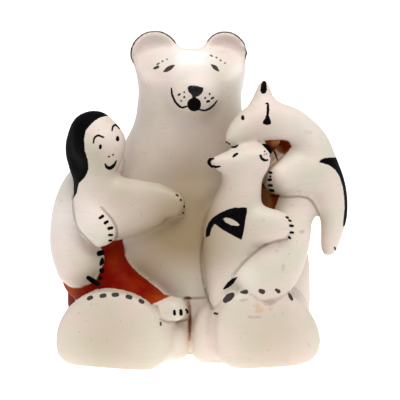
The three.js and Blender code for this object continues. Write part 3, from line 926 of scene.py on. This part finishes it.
def linear(hex_colour):
    """An sRGB hex colour as the linear colour that a shader takes."""
    shares = [int(hex_colour[i:i + 2], 16) / 255 for i in (1, 3, 5)]
    return (*[s / 12.92 if s <= 0.04045 else ((s + 0.055) / 1.055) ** 2.4 for s in shares], 1)


def add_node(tree, kind, inputs=None, output=0, **settings):
    """Adds a node with its settings, gives each input named its value or link, and returns one output."""
    item = tree.nodes.new(kind)
    for name, value in settings.items():
        setattr(item, name, value)
    for name, value in (inputs or {}).items():
        if isinstance(value, bpy.types.NodeSocket):
            tree.links.new(value, item.inputs[name])
        else:
            item.inputs[name].default_value = value
    return item.outputs[output] if item.outputs else item


# The colours of the slips, the paint, the bare clay and the marks of making and use; the tan, white,
# crease, rust and faded ones stand partly for painted shade, highlight and sheen.
CREAM = "#CEC7B7"
PINK_CREAM = "#DAC8C0"
# White paints a highlight on the forehead and cheeks; tan is thin slip together with painted shade in
# recesses.
WHITE_AND_PAINTED_HIGHLIGHT = "#F0ECEA"
TAN_AND_PAINTED_SHADE = "#8F7A5B"
RED = "#6A0702"
RED_THIN = "#A0400F"
RAW_CLAY = "#6C2103"
# Deep clay is painted shade where the bare clay lies in a crease.
DEEP_CLAY_AND_SHADE = "#1C0400"
BLACK = "#070608"
BLACK_WORN = "#262425"
# Grey of worn black, and in part painted sheen on upward-facing strokes.
BLACK_FADED_AND_SHEEN = "#3F3936"
DRAG_LINE = "#A98C68"
DRAG = "#B39A7C"
SPECK = "#7D6650"
SCUFF = "#6F6660"
# The crease colour: dirt in the creases and seams, and painted shade there.
CREASE_DIRT_AND_SHADE = "#562F14"
RUST_SPOT = "#B98552"
# Rust colour: thin slip in the crevices, and painted shade there.
RUST_AND_SHADE_COLOUR = "#B98A55"

# The sizes of the finish's patterns, in millimetres.
CLOUD_SIZE = 14
GRAIN_SIZE = 0.9  # sand is finer, but wouldn't show
RAGGED_SIZE = 1.1
DRAG_LENGTH = 9  # of the polishing stone's marks
DRAG_WIDTH = 0.8
SPECK_SPACING = 5
RELIEF = 0.05
# How far each coat's edge wanders and how softly it fades out, in millimetres.
EDGES = {"ink": (0.35, 0.16), "red": (0.5, 0.3), "gloss": (0.0, 0.3), "raw": (0.7, 0.45),
         "faded": (0.6, 0.3), "rust spot": (1.0, 0.8), "scuff": (0.8, 0.5), "rust": (1.0, 1.0),
         "drag": (0.8, 0.5), "crease": (0.2, 0.5)}
# Where a coat starts to show and where it is full, in times its softness inside the edge.
EDGE_STARTS, EDGE_FULL = -1.4, 0.6
# How much of a thin coat shows where it is full.
STRENGTHS = {"gloss": 0.5, "rust": 0.45, "rust spot": 0.6, "drag": 0.5, "scuff": 0.45, "crease": 0.65}


def burnished_slip():
    """Low-fired clay under slips burnished with a stone: a soft sheen, faint drags and clouds of colour.

    The black is a plant paint, thin and matte, with slightly ragged edges. Bare clay shows red-brown in
    the recesses and at the bottom of the seam between the calves.
    """
    finish = bpy.data.materials.new("burnished_slip_and_plant_black")
    finish.use_nodes = True
    tree = finish.node_tree
    tree.nodes.clear()
    node = partial(add_node, tree)
    place = node("ShaderNodeTexCoord", output="Object")
    per_mm = 1 / MM
    clouds, grain, ragged = [
        node("ShaderNodeTexNoise", {"Vector": place, "Scale": per_mm / size, "Detail": detail}, "Fac")
        for size, detail in ((CLOUD_SIZE, 3.0), (GRAIN_SIZE, 2.0), (RAGGED_SIZE, 1.0))]
    stretched = node("ShaderNodeMapping", {
        "Vector": place, "Scale": (1 / DRAG_LENGTH, 1 / DRAG_LENGTH, 1 / DRAG_WIDTH)})
    drags = node("ShaderNodeTexNoise", {"Vector": stretched, "Scale": per_mm, "Detail": 2.0}, "Fac")
    specks = node("ShaderNodeTexVoronoi", {"Vector": place, "Scale": per_mm / SPECK_SPACING}, "Distance")

    # A coat's cover: its distance inside the edge, made ragged by a fine noise, taken over a soft step.
    unevenness = node("ShaderNodeMath", {0: ragged, 1: 0.5}, operation="SUBTRACT")
    cover = {}
    for coat, (ragging, softness) in EDGES.items():
        inside = node("ShaderNodeAttribute", output="Fac", attribute_name=coat)
        edge = node("ShaderNodeMath", {0: unevenness, 1: ragging, 2: inside}, operation="MULTIPLY_ADD")
        cover[coat] = node("ShaderNodeMapRange", {
            "Value": edge, "From Min": EDGE_STARTS * softness, "From Max": EDGE_FULL * softness})

    # The drifts tan the slip as painted shade, and below zero whiten it as a painted highlight.
    tone, blush, thin = [node("ShaderNodeAttribute", output="Fac", attribute_name=name)
                         for name in ("tone", "blush", "thin red")]
    whiter_and_painted_highlight = node("ShaderNodeMath", {0: tone, 1: -1.0}, operation="MULTIPLY")
    pinker, thinner = [
        node("ShaderNodeMath", {0: amount, 1: weight, 2: clouds}, operation="MULTIPLY_ADD")
        for amount, weight in ((blush, 0.2), (thin, 0.6))]
    # What each film of colour follows, from and to which value of it, and how much shows there.
    followed = {"pink": (pinker, 0.38, 0.66, 0.0, 1.0), "drag line": (drags, 0.57, 0.75, 0.0, 0.15),
                "speck": (specks, 0.05, 0.09, 0.45, 0.0), "thin red": (thinner, 0.45, 1.1, 0.0, 0.9),
                "worn": (grain, 0.55, 0.8, 0.0, 0.4)}
    film = {}
    for name, (source, start, end, first, last) in followed.items():
        film[name] = node("ShaderNodeMapRange", {
            "Value": source, "From Min": start, "From Max": end, "To Min": first, "To Max": last})
    for coat, strength in STRENGTHS.items():
        film[coat] = node("ShaderNodeMath", {0: cover[coat], 1: strength}, operation="MULTIPLY")
    # Painted light in these stacks: tan and white are painted shade and highlight, the crease and rust
    # films are partly painted shade, and the faded grey of the black is partly painted sheen.
    stacks = {
        "slip": [CREAM, (PINK_CREAM, film["pink"]), (TAN_AND_PAINTED_SHADE, tone), (WHITE_AND_PAINTED_HIGHLIGHT, whiter_and_painted_highlight),
                 (DRAG_LINE, film["drag line"]), (SPECK, film["speck"]), (RUST_AND_SHADE_COLOUR, film["rust"]),
                 (RUST_SPOT, film["rust spot"]), (DRAG, film["drag"]), (SCUFF, film["scuff"]),
                 (CREASE_DIRT_AND_SHADE, film["crease"])],
        "red": [RED, (RED_THIN, film["thin red"])],
        "raw": [RAW_CLAY, (RUST_AND_SHADE_COLOUR, film["rust"]), (DEEP_CLAY_AND_SHADE, film["crease"])],
        "ink": [BLACK, (BLACK_WORN, film["worn"]), (BLACK_FADED_AND_SHEEN, cover["faded"])],
    }
    paints = {}
    for name, (ground, *films) in stacks.items():
        paints[name] = linear(ground)
        for shade, share in films:
            paints[name] = node("ShaderNodeMix", {0: share, 6: paints[name], 7: linear(shade)}, 2,
                                data_type="RGBA")
    colour = paints["slip"]
    for coat in ("red", "raw", "ink"):
        colour = node("ShaderNodeMix", {0: cover[coat], 6: colour, 7: paints[coat]}, 2, data_type="RGBA")

    # Slip is smoother where the stone pressed. The red is rubbed with fat and the nose has a glossy coat.
    sheen = node("ShaderNodeMapRange", {
        "Value": clouds, "From Min": 0.3, "From Max": 0.7, "To Min": 0.42, "To Max": 0.6})
    dullness = 0.45
    for coat, roughness in (("raw", 0.85), ("ink", 0.6)):
        dullness = node("ShaderNodeMix", {0: cover[coat], 2: dullness, 3: roughness}, data_type="FLOAT")
    height = grain
    for mark, share in ((drags, 0.6), (cover["ink"], 0.5)):
        height = node("ShaderNodeMath", {0: mark, 1: share, 2: height}, operation="MULTIPLY_ADD")
    relief = node("ShaderNodeBump", {"Height": height, "Distance": RELIEF * MM, "Strength": 1.0})
    slip = node("ShaderNodeBsdfPrincipled", {
        "Base Color": paints["slip"], "Roughness": sheen, "Normal": relief, "IOR": 1.45})
    paint = node("ShaderNodeBsdfPrincipled", {
        "Base Color": colour, "Roughness": dullness, "Normal": relief, "IOR": 1.08,
        "Coat Weight": film["gloss"], "Coat Roughness": 0.2})
    painted = cover["ink"]
    for coat in ("red", "raw"):
        painted = node("ShaderNodeMath", {0: painted, 1: cover[coat]}, operation="MAXIMUM")
    surface = node("ShaderNodeMixShader", {0: painted, 1: slip, 2: paint})
    node("ShaderNodeOutputMaterial", {"Surface": surface})
    return finish


# How the slip's colour drifts, partly its own tint and partly painted light: tanner as painted shade on
# the belly, chest, soles and the neck under the dog, and whiter as a painted highlight on the forehead,
# cheeks and arms. For each, a place in sculpted millimetres, how far it reaches, how much tanner it is
# there (whiter where it is below zero) and how much pinker.
DRIFTS_AND_PAINTED_LIGHT = [
    ((0, -36, 62), 38, 1.0, 0), ((2, -25, 90), 28, 0.45, 0.2), ((0, -22, 108), 22, 0, 0.4),
    ((22, -20, 108), 18, 0.5, 0), ((-22, -36, 64), 24, 0.3, 0), ((-42, -34, 82), 20, 0.1, 0),
    ((18, -44, 50), 24, 0.1, 0), ((0, -14, 140), 15, -1.0, 0), ((52, -18, 112), 18, -0.25, -0.2),
    ((50, -8, 42), 12, 0.4, 0), ((-17.6, -3, 140.8), 16, 0, 0.9), ((16.3, -3, 141), 14, 0.15, 0.9),
    ((-55, -8, 66), 26, -0.4, 0.5), ((-28, -20, 112), 16, 0, 0.4), ((60, -18, 86), 24, 0.1, 0.2),
    ((-38, -50, 14), 34, 0.5, -0.5), ((37, -50, 14), 34, 0.45, 0), ((30, -40, 112), 14, 0.25, 0),
    ((-36, -36, 84), 14, 0.2, 0), ((-15, -18, 134.8), 8, 0.25, 0.2), ((17, -18, 134.8), 8, 0.25, 0.2),
    ((25, -6, 128), 12, -1.2, 0), ((-25, -6, 128), 10, -0.3, 0), ((-24, -30, 40), 16, 0.5, -0.4),
    ((36, -28, 72), 14, 0.65, 0), ((-14, -4, 108), 16, -0.25, 0), ((-46, -34, 66), 16, -0.3, 0),
    ((-54, -12, 56), 20, -0.3, 0.2), ((-4, -34, 32), 12, -0.2, 0), ((-43, -36, 98), 12, 0.35, 0),
    ((-22, -38, 70), 14, -0.15, 0.2), ((-46, -28, 42), 14, 0.5, 0), ((20, -44, 40), 14, -0.3, 0),
    ((26, -50, 44), 10, -0.3, 0),
]
# Where the red slip is thin and shows orange: a place, its reach and how thin.
THIN_RED = [
    ((-29, -34, 31), 9, 1.0), ((-22, -40, 27), 10, 0.7), ((-12, -44, 26), 11, 0.9),
    ((-58, -22, 32), 8, 0.55),
]


def drift_of(item, drifts):
    """The sum of the drifts at each vertex, one row for each amount that a drift gives."""
    spots = positions_of(item)
    total = 0
    for centre, reach, *amounts in drifts:
        total = total + np.outer(amounts, np.exp(-2 * away_from(centre, reach, spots) ** 2))
    return total


# The studio

TENT_LIGHT = 0.56  # how bright the white tent is
# Plain paper all round, and over it a sheet lit from below: millimetres under the figure, y of the front
# edge in metres, glow and colour.
SHEETS = {"paper": (0.6, -4, 0, "#D8D8D8"), "lit sheet": (0.2, -0.12, 0.85, "#EFEFEF")}
SHEET_SIDE = 8  # metres
# The lights, with place and size in metres and power in watts, and the place they aim at.
LIGHTS = {"soft light above": ((0.06, -0.36, 0.8), 0.6, 5.7)}
LIGHT_AIM = Vector((0, 0, 0.08))


def studio():
    """A white table in a white tent, a soft light above and in front, and the photograph's camera."""
    deselect_all()
    eye = sight_line(0, 0)[0]
    bpy.ops.object.camera_add(location=eye, rotation=(math.pi / 2 - VIEW_DOWN, 0, 0))
    camera = bpy.context.object
    camera.data.lens = LENS
    camera.data.sensor_width = SENSOR
    camera.data.clip_start = 0.01
    bpy.context.scene.camera = camera
    bpy.context.scene.view_settings.view_transform = "Standard"

    world = bpy.data.worlds.new("white tent")
    world.use_nodes = True
    tent = world.node_tree.nodes["Background"]
    tent.inputs["Color"].default_value = (1, 1, 1, 1)
    tent.inputs["Strength"].default_value = TENT_LIGHT
    bpy.context.scene.world = world

    for name, (drop, front, glow, shade) in SHEETS.items():
        middle = (0, front + SHEET_SIDE / 2, CAD_BOX[0].z - drop * MM)
        bpy.ops.mesh.primitive_plane_add(size=SHEET_SIDE, location=middle)
        sheet = bpy.context.object
        sheet.name = name
        paper = bpy.data.materials.new("white_" + name.replace(" ", "_"))
        paper.use_nodes = True
        face = paper.node_tree.nodes["Principled BSDF"]
        settings = {"Base Color": linear(shade), "Roughness": 0.9, "Emission Color": (1, 1, 1, 1),
                    "Emission Strength": glow}
        for socket, value in settings.items():
            face.inputs[socket].default_value = value
        sheet.data.materials.append(paper)

    for name, (spot, size, power) in LIGHTS.items():
        facing = (LIGHT_AIM - Vector(spot)).to_track_quat("-Z", "Y").to_euler()
        bpy.ops.object.light_add(type="AREA", location=spot, rotation=facing)
        light = bpy.context.object
        light.name = light.data.name = name
        light.data.size = size
        light.data.energy = power


studio()
# The drifts: the slip's tint with painted shade and painted highlight, and its pinker blush.
keep_on(storyteller, dict(zip(("tone", "blush"), drift_of(storyteller, DRIFTS_AND_PAINTED_LIGHT))))
keep_on(storyteller, {"thin red": drift_of(storyteller, THIN_RED)[0]})
storyteller.data.materials.clear()
storyteller.data.materials.append(burnished_slip())

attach(storyteller, "root")
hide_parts("bear_storyteller")
